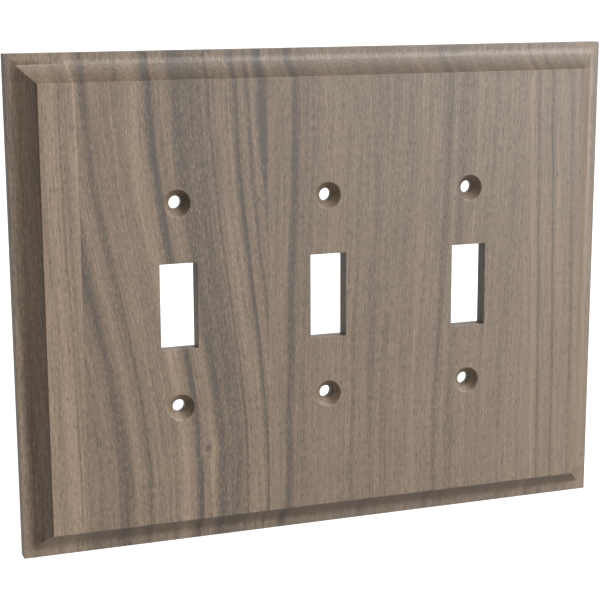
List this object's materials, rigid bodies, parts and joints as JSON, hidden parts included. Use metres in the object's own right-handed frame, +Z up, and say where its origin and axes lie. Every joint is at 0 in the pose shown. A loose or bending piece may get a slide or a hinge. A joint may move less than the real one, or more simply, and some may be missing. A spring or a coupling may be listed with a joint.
{
  "type": "wall plate cover",
  "caption": "Wooden wall plate for a row of toggle light switches, edge-glued staves with a raised field, coved border, toggle slots and countersunk screw holes.",
  "frame": {"origin": "on the wall's surface, at the middle of the plate, in the plane of the back rim that rests on the wall", "axes": "+Z up as the plate hangs, +X to the right as seen from the room, +Y into the wall, so the room is towards -Y"},
  "size_m": [0.1854, 0.0103, 0.146],
  "materials": {
    "left_edge_walnut": "straight-grained walnut, oiled to a satin sheen",
    "left_walnut": "dark-streaked walnut, oiled to a satin sheen",
    "centre_walnut": "plain-sawn walnut, oiled to a satin sheen",
    "right_edge_walnut": "straight-grained light walnut, oiled to a satin sheen"
  },
  "bodies": {
    "root": {"left_edge_stave": "left_edge_walnut", "left_stave": "left_walnut", "centre_stave": "centre_walnut", "right_edge_stave": "right_edge_walnut"}
  },
  "joints": []
}
